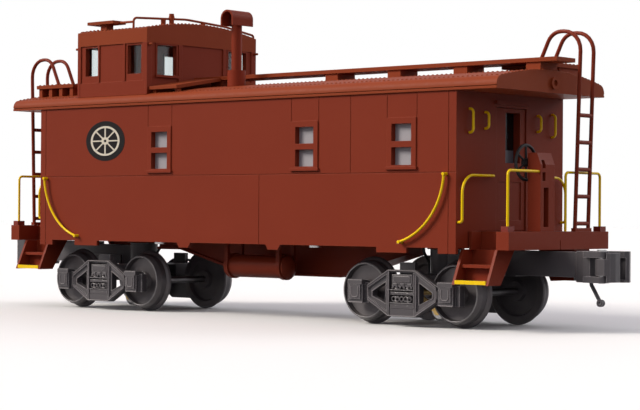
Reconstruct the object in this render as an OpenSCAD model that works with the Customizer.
// Model caboose, two trucks, offset cupola and open end platforms.
// Millimetres. +X runs to the right-hand end, +Z is up, and z = 0 is the bottom of the wheel flanges.
// The two ends are the same, turned half round about the Z axis, so only the right-hand end is drawn.

/* [Wheels] */
// Radius of the wheel tread
tread_r = 9.6; // [9.3:0.05:9.8]
// Height of the wheel flange over the tread
flange_h = 1.2; // [1.0:0.05:1.2]
// Distance from the car's centre line to the back of a wheel
wheel_back = 13.6; // [13.4:0.05:13.8]
// Width of a whole wheel
wheel_w = 5.4; // [5.0:0.1:5.6]
// Radius of the axle
axle_r = 1.2; // [1.1:0.05:1.3]

/* [Trucks] */
// Distance from the car's centre to a truck's centre
truck_x = 70.3; // [70:0.1:71]
// Distance between the two axles of a truck
wheelbase = 36; // [35.6:0.1:36.4]
// Inner face of the truck side frames
frame_in = 19.8; // [19.7:0.1:19.9]
// Outer face of the truck side frames
frame_out = 22.8; // [22.6:0.1:22.9]
// Top of the side frame's upper chord
frame_top = 17.8; // [17.6:0.1:17.9]
// Bottom of the side frame's lower chord
frame_bottom = 3.1; // [3:0.1:3.4]

/* [Body] */
// Length of the body over the end walls
body_len = 191.6; // [190:0.1:193]
// Width of the body over the side walls
body_w = 57; // [56.6:0.1:57.4]
// Height of the bottom edge of the sides
side_bottom = 25; // [24.9:0.1:25.1]
// Height of the eaves
eave_z = 72.8; // [72.4:0.1:73.2]
// Thickness of the moulded walls
wall = 1.6; // [1.4:0.1:1.8]
// Height of the seam that runs round the body
belt_z = 47.9; // [47:0.1:49]

/* [Roof and cupola] */
// Length of the roof over the platforms
roof_len = 222.1; // [220:0.1:223]
// Width of the roof at the eaves
roof_w = 58.2; // [58:0.1:58.6]
// Height of the roof's edge band
eave_band = 3.4; // [3:0.1:3.8]
// Height of the roof's ridge
ridge_z = 79.8; // [79.6:0.1:80.2]
// Left face of the cupola
cupola_x0 = -76.6; // [-77:0.1:-76]
// Right face of the cupola
cupola_x1 = -40.3; // [-41:0.1:-40]
// Width of the cupola
cupola_w = 55.5; // [55:0.1:56]
// Height of the cupola's side walls at the roof edge
cupola_eave = 99.9; // [99:0.1:100.5]
// Rise of the cupola's roof from its edge to its ridge
cupola_rise = 3; // [2.5:0.1:3.5]

/* [Platforms] */
// Outer face of the end beams, from the car's centre
beam_x = 114.25; // [114:0.05:114.4]
// Thickness of the end beams
beam_t = 4.55; // [4.4:0.05:4.7]
// Length of the end beams across the car
beam_w = 54; // [53:0.1:54.6]
// Height of the platform decks
deck_z = 30.2; // [30:0.1:30.4]
// Half the width of the platform decks between the steps
deck_y = 17.5; // [17:0.1:18]
// Distance from the car's centre to the inner step stringer
step_x0 = 95; // [94.9:0.1:95.2]
// Distance from the car's centre to the outer step stringer's outer face
step_x1 = 108.6; // [108.4:0.1:108.7]

/* [Wires and rods] */
// Radius of the handrail wire
rail_r = 0.42; // [0.38:0.02:0.5]
// Radius of the ladder stiles
stile_r = 0.65; // [0.6:0.05:0.75]
// Radius of the ladder rungs
rung_r = 0.65; // [0.5:0.05:0.65]

/* [Hidden] */
$fn = 48;
eps = 0.02;
axle_z = tread_r + flange_h;
flange_r = tread_r + flange_h;
body_x = body_len / 2;
body_y = body_w / 2;
roof_x = roof_len / 2;
roof_y = roof_w / 2;
eave_top = eave_z + eave_band;
roof_rise = ridge_z - eave_top;
roof_r = (roof_y * roof_y + roof_rise * roof_rise) / (2 * roof_rise);
cupola_y = cupola_w / 2;
cupola_mid = (cupola_x0 + cupola_x1) / 2;
cupola_half = (cupola_x1 - cupola_x0) / 2;
cupola_ridge = cupola_eave + cupola_rise;
cupola_r = (cupola_y * cupola_y + cupola_rise * cupola_rise) / (2 * cupola_rise);
trim = 0.4;
fascia_z = 94.9;
floor_z0 = 25.2;
floor_z1 = 27.2;
pivot_top = 24;
window_x = [-32.7, 34.7, 74.8];
pane_half = 3.9;
seam = 0.25;
seam_depth = 0.15;
board_z0 = 82.2;
board_z1 = 83.5;
board_y = 5.1;
bolster_x = 6;
bolster_z0 = 12.2;
bolster_z1 = 16.2;
screw_r = 1.4;
knuckle_pivot = [61.8, -4.4];
head_z0 = 15.1;
head_z1 = 24.5;
pickup_hinge = [-7.6, 10.2];
roller_at = [1.5, 4.4];
roller_r = roller_at.y - flange_h;
wire_hole = [-9, 2.6];
stand_x0 = 108.3;
stand_x1 = 113;
stand_y0 = -8.9;
stand_y1 = -1.4;
stand_top = 54.2;
brake_hub = [-7.4, 51.3];
tank_at = [-14, 17.2];
tank_r = 3.85;
strap_x = [-10.5, 13.5];
body_red = [0.49, 0.19, 0.15];
roof_red = [0.54, 0.25, 0.14];
rail_yellow = [0.94, 0.78, 0.12];
truck_grey = [0.27, 0.26, 0.27];

// ---- helpers ----

function unit(v) = v / norm(v);

// A box from its lowest corner to its highest corner.
module block(low, high) {
    translate(low)
        cube(high - low);
}

// The children, and the same again turned half round for the other end of the car.
module both_ends() {
    children();
    rotate([0, 0, 180])
        children();
}

// The children on the near side of the car, and mirrored on the far side.
module both_sides() {
    children();
    mirror([0, 1, 0])
        children();
}

// The children at a truck: end is 1 for the right-hand truck and -1 for the left-hand one.
module at_truck(end) {
    rotate([0, 0, end > 0 ? 0 : 180])
        translate([truck_x, 0, 0])
            children();
}

// The children with their X axis along side and their Z axis along axis.
module aligned(origin, side, axis) {
    y_axis = cross(axis, side);
    multmatrix([
        [side.x, y_axis.x, axis.x, origin.x],
        [side.y, y_axis.y, axis.y, origin.y],
        [side.z, y_axis.z, axis.z, origin.z]
    ])
        children();
}

// A straight round rod between two points.
module rod(a, b, r) {
    axis = unit(b - a);
    side = unit(cross(abs(axis.z) < 0.9 ? [0, 0, 1] : [0, 1, 0], axis));
    aligned(a, side, axis)
        cylinder(r = r, h = norm(b - a));
}

// How far a bend of radius bend at points[i] eats into the straight runs beside it.
function run_in(points, bends, i) =
    i == 0 || i == len(points) - 1 ? 0 :
    let (turn = acos(unit(points[i] - points[i - 1]) * unit(points[i + 1] - points[i])))
    bends[i - 1] * tan(turn / 2);

// A round wire along a list of points, with a rounded bend of the given radius at each inner point.
module wire(points, r, bends) {
    last = len(points) - 1;
    for (i = [0 : last - 1]) {
        way = unit(points[i + 1] - points[i]);
        rod(points[i] + way * run_in(points, bends, i), points[i + 1] - way * run_in(points, bends, i + 1), r);
    }
    for (i = [1 : last - 1]) {
        before = unit(points[i] - points[i - 1]);
        after = unit(points[i + 1] - points[i]);
        turn = acos(before * after);
        center = points[i] + unit(after - before) * bends[i - 1] / cos(turn / 2);
        start = points[i] - before * run_in(points, bends, i);
        aligned(center, unit(start - center), unit(cross(before, after)))
            rotate_extrude(angle = turn)
                translate([bends[i - 1], 0])
                    circle(r = r);
    }
}

// The route through points with each inner corner turned into short steps along its bend.
function rounded(points, bends, steps = 6) = [
    points[0],
    for (i = [1 : len(points) - 2])
        let (
            before = unit(points[i] - points[i - 1]),
            after = unit(points[i + 1] - points[i]),
            turn = acos(before * after),
            center = points[i] + unit(after - before) * bends[i - 1] / cos(turn / 2),
            arm = points[i] - before * run_in(points, bends, i) - center,
            normal = unit(cross(before, after))
        )
        for (k = [0 : steps])
            center + arm * cos(turn * k / steps) + cross(normal, arm) * sin(turn * k / steps),
    points[len(points) - 1]
];

// One ring of a tube, square to the route at point i.
function ring(route, i, r, side, sides) =
    let (
        way = unit(route[min(i + 1, len(route) - 1)] - route[max(i - 1, 0)]),
        up = unit(cross(way, side)),
        across = cross(up, way)
    )
    [for (j = [0 : sides - 1]) route[i] + r * (cos(360 * j / sides) * across + sin(360 * j / sides) * up)];

// A slanting bent wire as one closed skin. side is a direction square to the plane that it bends in.
module tube(points, bends, r, side, sides = 10) {
    route = rounded(points, bends);
    last = len(route) - 1;
    polyhedron(
        points = [for (i = [0 : last]) each ring(route, i, r, side, sides)],
        faces = [
            [for (j = [0 : sides - 1]) j],
            [for (j = [sides - 1 : -1 : 0]) last * sides + j],
            for (i = [0 : last - 1], j = [0 : sides - 1])
                let (a = i * sides + j, b = i * sides + (j + 1) % sides)
                [a, a + sides, b + sides, b]
        ]
    );
}

// A long cylinder along X whose top is at the given height, for the arch of a roof.
module arch(r, top) {
    translate([-150, 0, top - r])
        rotate([0, 90, 0])
            cylinder(r = r, h = 300, $fn = 180);
}

// ---- car body ----

module side_window_trim(x) {
    block([x - 5.75, -body_y - trim, 49.2], [x + 5.75, -body_y + 0.2, 65.1]);
    block([x - 6.1, -body_y - 0.75, 49.0], [x + 6.1, -body_y + 0.2, 49.9]);
}

module side_window_openings(x) {
    block([x - pane_half, -body_y - 2, 57.8], [x + pane_half, -body_y + 3, 63.2]);
    block([x - pane_half, -body_y - 2, 50.4], [x + pane_half, -body_y + 3, 55.9]);
}

module side_tabs() {
    for (s = [-1, 1]) {
        translate([s * 70.8, 0, 0])
            block([-6, -body_y, 23.3], [6, -body_y + 1.2, side_bottom + 1]);
        translate([s * 92.4, 0, 0])
            block([-3.4, -body_y, 23.3], [3.4, -body_y + 1.2, side_bottom + 1]);
        translate([s * 20.8, -body_y + 1.2, 0])
            rotate([90, 0, 0])
                linear_extrude(1.2)
                    polygon([[-3.6, side_bottom + 0.5], [-2.2, 23.3], [2.2, 23.3], [3.6, side_bottom + 0.5]]);
    }
}

module side_seams() {
    groove_y = -body_y + seam_depth;
    block([-body_x - 1, -body_y - 1, belt_z], [body_x + 1, groove_y, belt_z + seam]);
    block([14.4, -body_y - 1, side_bottom - 1], [14.4 + seam, groove_y, belt_z]);
    block([53.9, -body_y - 1, belt_z], [53.9 + seam, groove_y, eave_z + 1]);
    for (s = [-1, 1])
        block([s * 92.9 - seam / 2, -body_y - 1, side_bottom - 3],
              [s * 92.9 + seam / 2, groove_y, eave_z + 1]);
    for (x = window_x, s = [-1, 1])
        block([x + s * 5.9 - seam / 2, -body_y - 1, 65.1], [x + s * 5.9 + seam / 2, groove_y, eave_z + 1]);
}

module body_shell() {
    color(body_red)
        difference() {
            union() {
                block([-body_x, -body_y, side_bottom], [body_x, body_y, eave_z]);
                both_ends() {
                    for (x = window_x)
                        side_window_trim(x);
                }
                both_ends()
                    side_tabs();
                both_ends()
                    block([body_x - 0.2, -8.8, 69.4], [body_x + 0.8, 8.8, 70.6]);
            }
            difference() {
                block([-body_x + wall, -body_y + wall, side_bottom - 5],
                      [body_x - wall, body_y - wall, eave_z + 1]);
                both_ends()
                    for (s = [-1, 1])
                        translate([s * 36, -24.7, floor_z1])
                            cylinder(r = 2.4, h = 9);
            }
            both_ends() {
                side_seams();
                for (x = window_x)
                    side_window_openings(x);
                block([body_x - 3, -8, deck_z], [body_x + 3, 8, 68.6]);
                block([body_x - 3, -deck_y - 0.15, side_bottom - 1], [body_x + 3, deck_y + 0.15, deck_z + 0.1]);
                for (s = [-1, 1])
                    translate([s * 36, -24.7, floor_z1 - 0.1])
                        cylinder(r = 0.9, h = 7);
            }
        }
}

module window_pane(x) {
    block([x - 5, -body_y + wall + eps, 49.8], [x + 5, -body_y + wall + 0.8, 63.8]);
}

module door_pane() {
    block([body_x - wall - 2.1, -3.4, 50.8], [body_x - wall - 1.35, 5.8, 67.6]);
}

module body_glazing() {
    color([0.85, 0.88, 0.88])
        both_ends() {
            for (x = window_x)
                window_pane(x);
            door_pane();
        }
}

module end_doors() {
    door_x1 = body_x - wall - 0.05;
    color(body_red)
        both_ends()
            difference() {
                union() {
                    block([door_x1 - 1.25, -8.8, deck_z + 0.1], [door_x1, 8.8, 69.2]);
                    block([door_x1 - 0.1, -7.8, deck_z + 0.15], [body_x - 0.4, 7.8, 68.4]);
                    translate([body_x - 0.5, 6.5, 47])
                        rotate([0, 90, 0])
                            cylinder(r = 0.55, h = 1.2);
                }
                block([door_x1 - 3, -2.7, 51.4], [door_x1 + 3, 5.1, 67.2]);
                for (s = [-1, 1])
                    block([body_x - 0.7, s * 3.2 - 2.6, 33.5], [body_x + 1, s * 3.2 + 2.6, 45.5]);
            }
}

// ---- roof ----

module roof() {
    inner_r = roof_r - wall;
    color(roof_red)
        union() {
            difference() {
                intersection() {
                    block([-roof_x, -roof_y, eave_z], [roof_x, roof_y, ridge_z + 1]);
                    arch(roof_r, ridge_z);
                }
                both_sides() {
                    block([-roof_x - 1, -roof_y - 1, 73.5], [roof_x + 1, -roof_y + 0.3, 73.8]);
                    difference() {
                        block([-roof_x - 1, -roof_y - 1, eave_top - 2.3],
                              [roof_x + 1, -roof_y + 3, eave_top + 1]);
                        translate([-roof_x - 2, -roof_y + 3, eave_top - 2.3])
                            rotate([0, 90, 0])
                                cylinder(r = 3, h = roof_len + 4);
                    }
                }
                intersection() {
                    block([-body_x + 2, -body_y + 1.8, eave_z - 1], [body_x - 2, body_y - 1.8, ridge_z]);
                    arch(inner_r, ridge_z - wall);
                }
                for (s = [-1, 1])
                    intersection() {
                        block([s > 0 ? body_x - 3 : -roof_x + 1.6, -26.5, eave_z + 1.4],
                              [s > 0 ? roof_x - 1.6 : -body_x + 3, 26.5, ridge_z]);
                        arch(inner_r, ridge_z - wall);
                    }
                block([cupola_x0 + 2.4, -cupola_y + 2.6, eave_z],
                      [cupola_x1 - 2.4, cupola_y - 2.6, ridge_z + 2]);
            }
            both_ends()
                translate([roof_x - 0.5, 0.6, 75.8])
                    rotate([0, 90, 0])
                        difference() {
                            cylinder(r = 1.9, h = 1.3);
                            translate([0, 0, 0.6])
                                cylinder(r = 1, h = 2);
                        }
            for (x = [-24, 24])
                translate([x, 0, 71.3])
                    cylinder(r = 1.6, h = 7);
        }
}

module plank_grooves(x0, x1) {
    for (s = [-1, 1])
        block([x0, s * board_y / 3 - 0.15, board_z1 - 0.35], [x1, s * board_y / 3 + 0.15, board_z1 + 1]);
}

// The board that climbs from the eaves to the centre board, as a straight plank on short legs.
module side_step() {
    for (s = [-1, 1])
        hull() {
            translate([-33, s * 26.6, 78.2])
                block([-6.8, -0.4, 0], [6.8, 0.4, 1.1]);
            translate([-33, s * 5.5, 81.8])
                block([-6.8, -0.35, 0], [6.8, 0.35, 1.1]);
        }
}

module running_boards() {
    color(roof_red) {
        difference() {
            block([cupola_x1 + 0.5, -board_y, board_z0], [roof_x + 4.9, board_y, board_z1]);
            plank_grooves(cupola_x1, roof_x + 6);
        }
        difference() {
            block([-roof_x - 4.9, -board_y, board_z0], [cupola_x0 - 0.5, board_y, board_z1]);
            plank_grooves(-roof_x - 6, cupola_x0);
        }
        both_ends()
            block([88, board_y + 0.15, 81.3], [108.5, 20, board_z0 + 0.4]);
        side_step();
        block([-72.8, -26.6, 102.6], [-59.1, -20.4, 103.7]);
    }
}

// A small block that stands on the roof under a board.
module saddle(x0, x1, y0, y1, top) {
    difference() {
        block([x0, y0, ridge_z - 6], [x1, y1, top]);
        arch(roof_r + eps, ridge_z + eps);
    }
}

module board_saddles() {
    color(roof_red) {
        for (x = [-29, 25, 52, 79, 107])
            saddle(x - 2.7, x + 2.7, -board_y + 0.6, board_y - 0.6, board_z0 - eps);
        for (x = [-84, -107])
            saddle(x - 2.7, x + 2.7, -board_y + 0.6, board_y - 0.6, board_z0 - eps);
        both_ends()
            for (x = [89.6, 95.5, 101.3, 106.9])
                saddle(x - 0.9, x + 0.9, 8.5, 19.4, 81.3 - eps);
        for (s = [-1, 1], x = [-38.6, -27.4])
            saddle(x - 0.8, x + 0.8, s * 25 - 0.65, s * 25 + 0.65, 78.15);
        translate([-65.7, -23.5, 0])
            difference() {
                block([-1.6, -1.6, 95], [1.6, 1.6, 102.6 - eps]);
                translate([0, 23.5, 0])
                    arch(cupola_r + eps, cupola_ridge + eps);
            }
    }
}

// The hood's outline across its length: round on top, with straight sides and open below.
module hood_outline(r, drop) {
    circle(r = r);
    translate([-r, -drop])
        square([2 * r, drop]);
}

module smokejack() {
    at = [-12, -12];
    cap_z = 102.25;
    color(body_red)
        difference() {
            union() {
                translate([at.x, at.y, ridge_z - 4])
                    cylinder(r = 3.15, h = 8.7);
                translate([at.x, at.y, ridge_z])
                    cylinder(r = 1.8, h = cap_z + 2.4 - ridge_z);
                translate([at.x, at.y + 5.05, cap_z])
                    rotate([90, 0, 0])
                        linear_extrude(10.1)
                            difference() {
                                hood_outline(2.95, 2.4);
                                hood_outline(2.3, 3);
                            }
            }
            arch(roof_r + eps, ridge_z + eps);
        }
}

// ---- cupola ----

module cupola_side_trim() {
    face = -cupola_y + trim;
    for (x = [-17.0, -4.9 - 2.15, 6.4, 16.6])
        translate([cupola_mid + x, 0, 0])
            block([-0.5, -cupola_y, 81.6], [0.5, face + 0.2, fascia_z]);
    for (s = [-1, 1])
        translate([cupola_mid + s * (cupola_half - 0.6), 0, 0])
            block([-0.6, -cupola_y, 72], [0.6, face + 0.2, fascia_z]);
    block([cupola_x0 + 0.4, -cupola_y + 0.1, 72], [cupola_x1 - 0.4, face + 0.2, 81.6]);
}

module cupola_end_trim() {
    face = cupola_half - trim;
    for (s = [-1, 1]) {
        block([face - 0.2, s * 11.3 - 0.9, 76], [cupola_half, s * 11.3 + 0.9, fascia_z]);
        block([face - 0.2, s * (cupola_y - 1.2) - 1.2, 72],
              [cupola_half, s * (cupola_y - 1.2) + 1.2, fascia_z]);
        block([face - 0.2, s * 17.9 - 5.6, 82.9], [cupola_half + 0.35, s * 17.9 + 5.6, 83.7]);
        block([face - 0.2, s * 17.9 - 5.3, 83.7], [cupola_half - 0.1, s * 17.9 + 5.3, fascia_z]);
    }
}

module cupola_shell() {
    x0 = cupola_x0 + trim;
    x1 = cupola_x1 - trim;
    y1 = cupola_y - trim;
    color(body_red)
        difference() {
            union() {
                block([x0, -y1, 72], [x1, y1, 98.6]);
                both_sides()
                    cupola_side_trim();
                translate([cupola_mid, 0, 0])
                    both_ends()
                        cupola_end_trim();
            }
            block([x0 + wall, -y1 + wall, 70], [x1 - wall, y1 - wall, 100]);
            for (x = [-69.2, -47.15])
                block([x - 3.5, -cupola_y - 1, 84.1], [x + 3.5, cupola_y + 1, 94.2]);
            for (s = [-1, 1])
                block([cupola_x0 - 1, s * 17.9 - 4.7, 83.8], [cupola_x1 + 1, s * 17.9 + 4.7, 94.3]);
            arch(roof_r + eps, ridge_z + eps);
        }
}

module cupola_roof() {
    x0 = cupola_x0 + trim - eps;
    x1 = cupola_x1 - trim + eps;
    y1 = cupola_y - trim + eps;
    color(roof_red)
        difference() {
            intersection() {
                block([cupola_x0, -cupola_y, fascia_z], [cupola_x1, cupola_y, cupola_ridge + 1]);
                arch(cupola_r, cupola_ridge);
            }
            block([x0, -y1, fascia_z - 1], [x1, y1, 98.6 + eps]);
            intersection() {
                block([x0 + 1, -y1 + 1, 95], [x1 - 1, y1 - 1, cupola_ridge]);
                arch(cupola_r - wall, cupola_ridge - wall);
            }
        }
}

module cupola_glazing() {
    y1 = cupola_y - trim - wall - eps;
    x1 = cupola_half - trim - wall - eps;
    color([0.85, 0.88, 0.88]) {
        both_sides()
            for (x = [-69.2, -47.15])
                block([x - 4.2, -y1, 83.2], [x + 4.2, -y1 + 0.8, 95]);
        translate([cupola_mid, 0, 0])
            both_ends()
                for (s = [-1, 1])
                    block([x1 - 0.8, s * 17.9 - 5.4, 83.0], [x1, s * 17.9 + 5.4, 95.2]);
    }
}

// The bent handrails on the cupola's roof, with their stanchions, and the four lamp hooks.
module cupola_handrails() {
    color(roof_red) {
        difference() {
            union() {
                tube([[-49.5, -25.6, 98], [-49.5, -25.6, 104.1], [-46, -3, 105], [-43.2, 14, 103.6],
                      [-41, 27, 101.2], [-41, 27, 98]], [1.4, 20, 20, 0.8], rail_r, [0.99, -0.16, 0]);
                for (p = [[-47.5, -13, 104.5], [-44.8, 4.4, 104.3]])
                    translate([p.x, p.y, 98])
                        cylinder(r = 0.9, h = p.z - 98);
                translate([-46.8, -9.6, 98])
                    cylinder(r = 0.9, h = 8.6);
            }
            arch(cupola_r + eps, cupola_ridge + eps);
        }
        rod([-59, -23.2, 103.1], [-49.99, -25.36, 102.7], rail_r);
        translate([cupola_mid, 0, 0])
            both_ends()
                for (s = [-1, 1])
                    rod([cupola_half + eps, s * 26.8, 94.2], [cupola_half + 1.7, s * 26.8, 94.2], rail_r);
    }
}

// ---- frame under the car ----

module underframe() {
    color(body_red)
        difference() {
            union() {
                block([-body_x + wall + 0.2, -body_y + wall + 0.2, floor_z0],
                      [body_x - wall - 0.2, body_y - wall - 0.2, floor_z1]);
                both_ends() {
                    translate([truck_x, 0, pivot_top + 0.1])
                        cylinder(r = 6, h = floor_z1 - pivot_top - 0.2);
                    block([body_x - wall - 1, -deck_y, 24.7], [body_x + 0.1, deck_y, deck_z]);
                    block([body_x, -deck_y, deck_z - 1.8], [beam_x - 0.5, deck_y, deck_z]);
                    for (s = [-1, 1])
                        block([body_x, s * (deck_y - 0.5) - 0.5, 24.7],
                              [beam_x - 0.5, s * (deck_y - 0.5) + 0.5, deck_z]);
                    block([beam_x - beam_t, -beam_w / 2, 24.7], [beam_x, beam_w / 2, deck_z]);
                }
            }
            both_ends() {
                block([beam_x - 0.3, -0.2, 24], [beam_x + 1, 0.2, 27.6]);
                translate([truck_x, 0, 20])
                    cylinder(r = screw_r, h = 12);
                translate([truck_x + wire_hole.x, 0, 20])
                    cylinder(r = wire_hole.y, h = 12);
                for (s = [-1, 1])
                    translate([s * 36, -24.7, 20])
                        cylinder(r = 1.2, h = 12);
            }
        }
}

module center_sill() {
    web = [[-46, 22.6], [-14, 14.9], [30, 14.9], [58, 22.6], [58, floor_z0 - eps],
           [-58, floor_z0 - eps], [-58, 22.6]];
    flange = [[-58, 22], [-46, 22], [-14, 14], [30, 14], [58, 22], [58, 22.9], [30, 14.9], [-14, 14.9],
              [-46, 22.9], [-58, 22.9]];
    color(body_red) {
        translate([0, 4, 0])
            rotate([90, 0, 0])
                linear_extrude(8)
                    polygon(web);
        translate([0, 5.2, 0])
            rotate([90, 0, 0])
                linear_extrude(10.4)
                    polygon(flange);
    }
}

module air_tank() {
    dome = tank_r * 1.4;
    cap = sqrt(dome * dome - tank_r * tank_r);
    color(body_red)
        translate([-12, tank_at.x, tank_at.y])
            rotate([0, 90, 0])
                intersection() {
                    translate([0, 0, -5])
                        cylinder(r = tank_r, h = 40);
                    union() {
                        cylinder(r = tank_r + 1, h = 27);
                        translate([0, 0, cap])
                            sphere(r = dome);
                        translate([0, 0, 27 - cap])
                            sphere(r = dome);
                    }
                }
}

module tank_straps() {
    color(body_red)
        for (x = strap_x)
            difference() {
                union() {
                    translate([x - 0.8, tank_at.x, tank_at.y])
                        rotate([0, 90, 0])
                            cylinder(r = tank_r + 0.5, h = 1.6);
                    for (s = [-1, 1])
                        block([x - 0.8, tank_at.x + s * 3.6 - 0.5, tank_at.y],
                              [x + 0.8, tank_at.x + s * 3.6 + 0.5, floor_z0 - eps]);
                }
                translate([x - 2, tank_at.x, tank_at.y])
                    rotate([0, 90, 0])
                        cylinder(r = tank_r + eps, h = 4);
            }
}

// ---- platforms ----

module stringer(x0) {
    translate([x0 + 1, 0, 0])
        rotate([0, -90, 0])
            linear_extrude(1)
                polygon([[24.7, -16], [24.7, -24.7], [14.1, -29.4], [14.1, -23.1]]);
}

module step_unit() {
    x0 = step_x0;
    x1 = step_x1;
    stringer(x0);
    block([96.2, -22.3, 24.5], [97.2, -deck_y - 0.1, deck_z]);
    stringer(x1 - 1);
    block([x0 + 0.5, -28.7, 14.4], [x1 - 0.5, -22.6, 15.4]);
    block([x0 + 0.5, -23.4, 15.3], [x1 - 0.5, -22.6, 20.2]);
    block([x0 + 0.5, -25.9, 19.2], [x1 - 0.5, -19.2, 20.2]);
    block([x0 + 0.5, -20.0, 20.1], [x1 - 0.5, -19.2, 24.7]);
    block([x0 + 0.5, -20.0, 23.8], [x1 - 0.5, -16.4, 24.7]);
}

module steps() {
    color(body_red)
        both_ends()
            both_sides()
                step_unit();
}

module step_nosings() {
    color(rail_yellow)
        both_ends()
            both_sides()
                block([step_x0 + 1.05, -29.3, 14.3], [step_x1 - 1.05, -28.72, 15.5]);
}

module foot_block(y) {
    block([111.0, y - 1.6, deck_z + eps], [113.6, y + 1.6, deck_z + 1.6]);
}

module platform_rails() {
    color(rail_yellow)
        both_ends() {
            wire([[112.3, -24.9, deck_z + 1.6], [112.3, -24.9, 48.5], [112.3, stand_y0 - eps, 48.5]],
                 rail_r, [1.4]);
            wire([[112.3, 24.9, deck_z + 1.6], [112.3, 24.9, 48.5], [112.3, 5.6, 48.5],
                  [112.3, 5.6, deck_z + eps]], rail_r, [1.4, 1.4]);
        }
    color(body_red)
        both_ends()
            for (s = [-1, 1])
                foot_block(s * 24.9);
}

// One quarter-round handrail on the side of the body, at the right-hand near corner.
module corner_handrail() {
    from = -75;
    sweep = 71;
    radius = 23.2;
    translate([69, -29.8, 49.1])
        rotate([90, 0, 0]) {
            rotate([0, 0, from])
                rotate_extrude(angle = sweep)
                    translate([radius, 0])
                        circle(r = rail_r);
            for (a = [from, from + sweep])
                translate([radius * cos(a), radius * sin(a), body_y - 29.8 + eps])
                    cylinder(r = rail_r + 0.1, h = 29.8 - body_y + 0.55);
        }
}

module corner_handrails() {
    color(rail_yellow)
        both_ends()
            both_sides()
                corner_handrail();
}

module stair_rails() {
    wall_x = body_x + eps;
    out_x = 97.5;
    color(rail_yellow)
        both_ends()
            both_sides()
                wire([[wall_x, -27.6, 32.9], [out_x, -27.6, 32.9], [out_x, -27.6, 47.2], [out_x, -11, 47.2],
                      [wall_x, -11, 47.2]], rail_r, [0.9, 5.5, 0.9]);
}

// One C-shaped grab iron on the end wall.
module grab_iron(y, z0, z1) {
    wall_x = body_x + eps;
    out_x = 97.3;
    wire([[wall_x, y, z0], [out_x, y, z0], [out_x, y, z1], [wall_x, y, z1]], rail_r, [1.2, 1.2]);
}

module grab_irons() {
    color(rail_yellow)
        both_ends()
            for (s = [-1, 1]) {
                grab_iron(s * 14, 61.7, 66.7);
                grab_iron(s * 22, 60.2, 67.4);
            }
}

module ladder_stile(y) {
    tube([[113.4, y, deck_z + 0.5], [115.3, y, 92.6], [104.5, y, 92.6], [99.8, y, board_z0 + 0.7]],
         [6.2, 5.2], stile_r, [0, 1, 0]);
}

module ladders() {
    y0 = 9.2;
    y1 = 16.6;
    slope = (115.3 - 113.4) / (92.6 - deck_z - 0.9);
    color(body_red)
        both_ends() {
            ladder_stile(y0);
            ladder_stile(y1);
            for (i = [0 : 4]) {
                z = 32.7 + i * 8.4;
                x = 113.4 + slope * (z - deck_z - 0.9);
                rod([x, y0, z], [x, y1, z], rung_r);
            }
            block([112.6, y0 - 0.8, deck_z + eps], [114.2, y1 + 0.8, deck_z + 1.1]);
        }
}

module brake_stands() {
    color(body_red)
        both_ends()
            difference() {
                translate([0, stand_y0, 0])
                    rotate([-90, 0, 0])
                        linear_extrude(stand_y1 - stand_y0)
                            polygon([[stand_x0, -deck_z - eps], [stand_x1, -deck_z - eps],
                                     [stand_x1, -stand_top + 3.6], [stand_x1 - 1.4, -stand_top],
                                     [stand_x0, -stand_top]]);
                for (z = [45.6, 49.4])
                    block([stand_x1 - 1.6, -7.9, z], [stand_x1 + 1, -6.3, z + 2.6]);
                block([stand_x1 - 1.8, -7.2, deck_z + 1.4], [stand_x1 + 1, -4.6, 43.6]);
                translate([stand_x0 - 1, brake_hub.x, brake_hub.y])
                    rotate([0, 90, 0])
                        cylinder(r = 0.76, h = 3.4);
            }
}

module brake_wheel() {
    rim_r = 5.3;
    translate([106.5, brake_hub.x, brake_hub.y])
        rotate([0, 90, 0]) {
            rotate_extrude()
                translate([rim_r, 0])
                    circle(r = 0.5);
            translate([0, 0, -0.9])
                cylinder(r = 1.3, h = 2);
            cylinder(r = 0.7, h = 4);
            for (a = [0 : 60 : 300])
                rotate([0, 90, a])
                    translate([0, 0, 1])
                        cylinder(r = 0.35, h = rim_r - 1);
        }
}

module right_brake_wheel() {
    color([0.12, 0.11, 0.12])
        brake_wheel();
}

module left_brake_wheel() {
    color([0.12, 0.11, 0.12])
        rotate([0, 0, 180])
            brake_wheel();
}

// ---- inside the body ----

module light_board() {
    color([0.1, 0.4, 0.2])
        block([-30, -7, 70], [30, 7, 71.3 - eps]);
}

module light_bulbs() {
    color([0.9, 0.85, 0.7])
        for (x = [-20, 20])
            translate([x, 0, 64.5]) {
                cylinder(r = 1.5, h = 5.5 - eps);
                sphere(r = 1.5);
            }
}

module light_wires() {
    x = truck_x + wire_hole.x;
    color([0.1, 0.1, 0.1])
        both_ends()
            tube([[x, 0, 29.5], [x, 0, 66], [30.3, 0, 70.6]], [3], 0.5, [0, 1, 0], 8);
}

module body_screws() {
    color([0.75, 0.75, 0.75])
        both_ends()
            for (s = [-1, 1])
                translate([s * 36, -24.7, floor_z0 - 0.9]) {
                    cylinder(r = 2, h = 0.9 - eps);
                    cylinder(r = 0.88, h = 8);
                }
}

module truck_screws() {
    color([0.75, 0.75, 0.75])
        both_ends()
            translate([truck_x, 0, 0])
                difference() {
                    union() {
                        translate([0, 0, 10.2])
                            cylinder(r = 3, h = bolster_z0 - 10.3);
                        translate([0, 0, 11])
                            cylinder(r = screw_r, h = floor_z1 + 0.8 - 11);
                    }
                    block([-2.2, -0.3, 10], [2.2, 0.3, 11]);
                    block([-0.3, -2.2, 10], [0.3, 2.2, 11]);
                }
}

// ---- trucks, drawn about their own centre with the outer end towards +X ----

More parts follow.
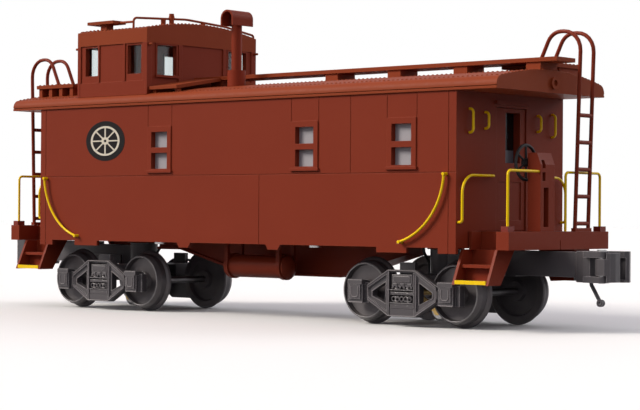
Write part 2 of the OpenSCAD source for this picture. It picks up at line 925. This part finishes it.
module frame_outline() {
    box_x = wheelbase / 2;
    polygon([[5.4, frame_top], [13.8, 12.9], [13.8, 8], [5.4, frame_bottom],
             [-5.4, frame_bottom], [-13.8, 8], [-13.8, 12.9], [-5.4, frame_top]]);
    for (s = [-1, 1])
        translate([s * box_x, 0])
            polygon([[-4.4, 13.4], [-4.4, 7.1], [4.4, 7.1], [4.4, 13.4]]);
}

module frame_windows() {
    for (s = [-1, 1])
        mirror([s > 0 ? 0 : 1, 0])
            polygon([[6.6, 14], [6.6, 7], [12.2, 9.3], [12.2, 10.9]]);
    polygon([[-5, 5.9], [5, 5.9], [5, 17], [-5, 17]]);
}

// The raised ribs along the chords and the columns, on the right-hand half.
module frame_ribs() {
    polygon([[5, frame_top - 0.1], [5.4, frame_top - 0.1], [13.8, 12.8], [13.8, 11.7], [6, 16.2], [5, 16.2]]);
    polygon([[5, frame_bottom + 0.1], [5.4, frame_bottom + 0.1], [13.8, 8.1], [13.8, 9.2], [6, 4.7], [5, 4.7]]);
    polygon([[5, 4], [5.9, 4], [5.9, 17], [5, 17]]);
}

// One cast side frame on the near side, with its journal boxes and the blind bores for the axle ends.
module side_frame() {
    box_x = wheelbase / 2;
    difference() {
        union() {
            translate([0, -frame_in, 0])
                rotate([90, 0, 0])
                    linear_extrude(frame_out - frame_in - 0.6)
                        difference() {
                            frame_outline();
                            frame_windows();
                        }
            translate([0, -frame_in - 1, 0])
                rotate([90, 0, 0])
                    linear_extrude(frame_out - frame_in - 1)
                        for (s = [-1, 1])
                            mirror([s > 0 ? 0 : 1, 0])
                                frame_ribs();
            for (s = [-1, 1])
                translate([s * box_x, 0, 0]) {
                    block([-2.8, -frame_out - 0.7, 7.1], [2.8, -frame_in, 14]);
                    block([-2.2, -frame_out - 1.2, 8.2], [2.2, -frame_out, 12.9]);
                    block([-2.9, -frame_out - 1.3, 12.9], [2.9, -frame_in - 1, 14.3]);
                }
            block([-5, -frame_out + 0.3, frame_bottom + 0.2], [5, -frame_in, 5.9]);
            // the thin web behind the springs
            block([-5.1, -frame_in - 0.3, 5.7], [5.1, -frame_in, 12.1]);
        }
        for (s = [-1, 1])
            translate([s * box_x, -frame_in + 1, axle_z])
                rotate([90, 0, 0])
                    cylinder(r = axle_r + 0.05, h = 3.6);
    }
}

module side_frames(end) {
    color(truck_grey)
        at_truck(end)
            both_sides()
                side_frame();
}

module bolster(end) {
    color(truck_grey)
        at_truck(end)
            difference() {
                union() {
                    block([-bolster_x, -frame_in + eps, bolster_z0], [bolster_x, frame_in - eps, bolster_z1]);
                    block([-4.2, -frame_out + 0.6, 12.6], [4.2, frame_out - 0.6, 16.3]);
                    translate([0, 0, bolster_z1 - 1])
                        cylinder(r = 5, h = pivot_top - bolster_z1 + 1);
                    both_sides()
                        block([-3, -frame_in + eps, bolster_z1 - 1], [3, -frame_in + 1.6, 20.1]);
                }
                translate([0, 0, bolster_z0 - 3])
                    cylinder(r = screw_r + 0.06, h = 20);
                translate([0, 0, bolster_z0 - 2])
                    cylinder(r = 3.4, h = 2.1);
            }
}

// Two coil springs at each end of the bolster, as plain sleeves over their full height.
module springs(end) {
    color([0.2, 0.2, 0.2])
        at_truck(end)
            for (s = [-1, 1], x = [-2.3, 2.3])
                translate([x, s * (frame_in + 1.65), 5.9 + eps])
                    difference() {
                        cylinder(r = 1.3, h = 12.6 - 5.9 - 2 * eps);
                        translate([0, 0, -1])
                            cylinder(r = 0.7, h = 9);
                    }
}

module coupler_head_outline() {
    polygon([[52.5, -4], [55.5, -4.9], [57.9, -4.9], [58.4, -2.4], [58.4, 1.4], [59.9, 3], [62.1, 3.4],
             [64.3, 3.9], [65.3, 5.2], [64.7, 6.9], [60.5, 7.1], [56.5, 6], [52.5, 4]]);
}

module coupler(end) {
    color(truck_grey)
        at_truck(end)
            difference() {
                union() {
                    block([3, -3.6, bolster_z1 + eps], [30, 3.6, 23.2]);
                    block([26, -3.6, 16.5], [54.5, 3.6, 24.2]);
                    block([8, -4.6, bolster_z1 + eps], [26, 4.6, 19.4]);
                    translate([54, 0, head_z0 + 0.4])
                        cylinder(r = 4.2, h = head_z1 - head_z0 - 0.8);
                    translate([0, 0, head_z0])
                        linear_extrude(head_z1 - head_z0)
                            coupler_head_outline();
                    for (z = [head_z0, head_z1 - 1.9]) {
                        translate([knuckle_pivot.x, knuckle_pivot.y, z])
                            cylinder(r = 2.1, h = 1.9);
                        block([56.5, knuckle_pivot.y - 2.1, z],
                              [knuckle_pivot.x, knuckle_pivot.y + 2.5, z + 1.9]);
                    }
                }
                translate([0, 0, bolster_z1 - 1])
                    cylinder(r = 5 + eps, h = 12);
                translate([knuckle_pivot.x, knuckle_pivot.y, 0])
                    cylinder(r = 1, h = 40);
                block([61.6, 2, head_z0 + 0.8], [64.6, 5.2, head_z1 - 2]);
                translate([55.9, -1, head_z0 - 1])
                    cylinder(r = 0.7, h = 3);
            }
}

// The knuckle: a hub between the lugs, and a nose as tall as the head that stands clear of them.
module knuckle(end) {
    z0 = head_z0 + 2.2;
    z1 = head_z1 - 2.2;
    color([0.33, 0.31, 0.32])
        at_truck(end)
            difference() {
                union() {
                    translate([knuckle_pivot.x, knuckle_pivot.y, z0])
                        cylinder(r = 2, h = z1 - z0);
                    translate([0, 0, z0])
                        linear_extrude(z1 - z0)
                            polygon([[61.8, -6.4], [63.8, -6.3], [65.2, -5.2], [65.7, -3], [65.6, -0.6],
                                     [64.9, 0.8], [63.8, 0.6], [63.7, -1.2], [63.1, -2.6], [62.1, -2.9]]);
                    translate([0, 0, head_z0 + 0.2])
                        linear_extrude(head_z1 - head_z0 - 0.6)
                            polygon([[64.25, -5.9], [65.2, -5.2], [65.7, -3], [65.6, -0.6], [64.9, 0.8],
                                     [63.8, 0.6], [63.9, -1.2], [64.2, -3]]);
                }
                translate([knuckle_pivot.x, knuckle_pivot.y, z0 - 1])
                    cylinder(r = 1.06, h = 12);
            }
}

// The knuckle's pin and the pickup arm's hinge pin.
module truck_pins(end) {
    color([0.6, 0.6, 0.6])
        at_truck(end) {
            translate([knuckle_pivot.x, knuckle_pivot.y, head_z0 - 0.2])
                cylinder(r = 1, h = head_z1 - head_z0 + 0.5);
            translate([knuckle_pivot.x, knuckle_pivot.y, head_z1 + eps])
                cylinder(r = 1.4, h = 0.5);
            translate([pickup_hinge.x, 7.6, pickup_hinge.y])
                rotate([90, 0, 0])
                    cylinder(r = 0.5, h = 15.2);
        }
}

module air_hose(end) {
    color([0.2, 0.19, 0.2])
        at_truck(end) {
            tube([[55.9, -1, head_z0 + 1.9], [55.9, -1, 14.4], [58.8, -1, 9.7]], [1.5], 0.6, [0, 1, 0]);
            difference() {
                translate([59.3, -0.3, 8.9])
                    rotate([90, 0, 0])
                        cylinder(r = 1.1, h = 1.4);
                translate([59.3, 1, 8.9])
                    rotate([90, 0, 0])
                        cylinder(r = 0.45, h = 4);
            }
        }
}

module pickup_bracket(end) {
    color([0.1, 0.1, 0.1])
        at_truck(end)
            difference() {
                union() {
                    block([-9, -7.6, 12.6], [-bolster_x - eps, 7.6, 16]);
                    for (s = [-1, 1])
                        block([-9, s * 7.2 - 0.4, 9], [-bolster_x - 0.2, s * 7.2 + 0.4, 12.8]);
                }
                translate([pickup_hinge.x, 10, pickup_hinge.y])
                    rotate([90, 0, 0])
                        cylinder(r = 0.5, h = 20);
            }
}

module pickup_arm(end) {
    way = roller_at - pickup_hinge;
    reach = norm(way);
    tilt = atan2(way.y, way.x);
    color([0.72, 0.55, 0.25])
        at_truck(end)
            translate([pickup_hinge.x, 0, pickup_hinge.y])
                rotate([0, -tilt, 0]) {
                    difference() {
                        union() {
                            translate([0, 6.6, 0])
                                rotate([90, 0, 0])
                                    cylinder(r = 1.15, h = 13.2);
                            for (s = [-1, 1])
                                translate([0, s * 6.2 + 0.4, 0])
                                    rotate([90, 0, 0]) {
                                        translate([0, -0.9, 0])
                                            cube([reach, 1.8, 0.8]);
                                        translate([reach, 0, 0])
                                            cylinder(r = 1.3, h = 0.8);
                                    }
                        }
                        translate([0, 8, 0])
                            rotate([90, 0, 0])
                                cylinder(r = 0.55, h = 16);
                    }
                    translate([reach, 6.2, 0])
                        rotate([90, 0, 0])
                            cylinder(r = 0.6, h = 12.4);
                }
}

module pickup_roller(end) {
    color([0.75, 0.73, 0.68])
        at_truck(end)
            translate([roller_at.x, 0, roller_at.y])
                rotate([90, 0, 0])
                    difference() {
                        rotate_extrude()
                            polygon([[0, -5.5], [2.4, -5.5], [roller_r, -4.9], [roller_r, 4.9], [2.4, 5.5],
                                     [0, 5.5]]);
                        cylinder(r = 0.66, h = 20, center = true);
                    }
}

module pickup_wire(end) {
    color([0.08, 0.08, 0.08])
        at_truck(end)
            tube([[-8.2, 2, 16 + eps], [-8.2, 2, 19.5], [wire_hole.x, 0, 23], [wire_hole.x, 0, 29]],
                 [2.5, 2.5], 0.5, [0.93, -0.37, 0], 8);
}

// A wheel set: offset is where its axle stands from the truck's centre.
module axle(end, offset) {
    color([0.55, 0.55, 0.55])
        at_truck(end)
            translate([offset, 0, axle_z])
                rotate([90, 0, 0])
                    cylinder(r = axle_r, h = 43.4, center = true);
}

module wheels(end, offset) {
    back = wheel_back;
    front = wheel_back + wheel_w;
    color([0.33, 0.31, 0.32])
        at_truck(end)
            translate([offset, 0, axle_z])
                for (s = [-1, 1])
                    rotate([s * 90, 0, 0])
                        rotate_extrude($fn = 96)
                            polygon([[axle_r, back - 0.6], [3, back - 0.6], [3.4, back + 0.8],
                                     [7.6, back + 1.2], [8.2, back], [flange_r - 0.4, back],
                                     [flange_r, back + 0.5], [flange_r - 0.3, back + 1.1],
                                     [tread_r + 0.1, back + 1.6], [tread_r, front - 1.6],
                                     [8.9, front], [8.4, front], [8.1, front - 1.8],
                                     [3.6, front - 2.2], [2.6, front - 0.3], [axle_r, front - 0.3]]);
}

module right_side_frames() { side_frames(1); }
module right_bolster() { bolster(1); }
module right_springs() { springs(1); }
module right_coupler() { coupler(1); }
module right_knuckle() { knuckle(1); }
module right_truck_pins() { truck_pins(1); }
module right_air_hose() { air_hose(1); }
module right_pickup_bracket() { pickup_bracket(1); }
module right_pickup_arm() { pickup_arm(1); }
module right_pickup_roller() { pickup_roller(1); }
module right_pickup_wire() { pickup_wire(1); }
module right_outer_axle() { axle(1, wheelbase / 2); }
module right_outer_wheels() { wheels(1, wheelbase / 2); }
module right_inner_axle() { axle(1, -wheelbase / 2); }
module right_inner_wheels() { wheels(1, -wheelbase / 2); }
module left_side_frames() { side_frames(-1); }
module left_bolster() { bolster(-1); }
module left_springs() { springs(-1); }
module left_coupler() { coupler(-1); }
module left_knuckle() { knuckle(-1); }
module left_truck_pins() { truck_pins(-1); }
module left_pickup_bracket() { pickup_bracket(-1); }
module left_pickup_arm() { pickup_arm(-1); }
module left_pickup_roller() { pickup_roller(-1); }
module left_pickup_wire() { pickup_wire(-1); }
module left_outer_axle() { axle(-1, wheelbase / 2); }
module left_outer_wheels() { wheels(-1, wheelbase / 2); }
module left_inner_axle() { axle(-1, -wheelbase / 2); }
module left_inner_wheels() { wheels(-1, -wheelbase / 2); }

body_shell();
roof();
cupola_shell();
cupola_roof();
body_glazing();
cupola_glazing();
end_doors();
underframe();
center_sill();
air_tank();
tank_straps();
running_boards();
board_saddles();
smokejack();
ladders();
steps();
step_nosings();
platform_rails();
corner_handrails();
stair_rails();
grab_irons();
brake_stands();
right_brake_wheel();
left_brake_wheel();
cupola_handrails();
light_board();
light_bulbs();
light_wires();
body_screws();
truck_screws();
right_side_frames();
right_bolster();
right_springs();
right_coupler();
right_knuckle();
right_truck_pins();
right_air_hose();
right_pickup_bracket();
right_pickup_arm();
right_pickup_roller();
right_pickup_wire();
right_outer_axle();
right_outer_wheels();
right_inner_axle();
right_inner_wheels();
left_side_frames();
left_bolster();
left_springs();
left_coupler();
left_knuckle();
left_truck_pins();
left_pickup_bracket();
left_pickup_arm();
left_pickup_roller();
left_pickup_wire();
left_outer_axle();
left_outer_wheels();
left_inner_axle();
left_inner_wheels();
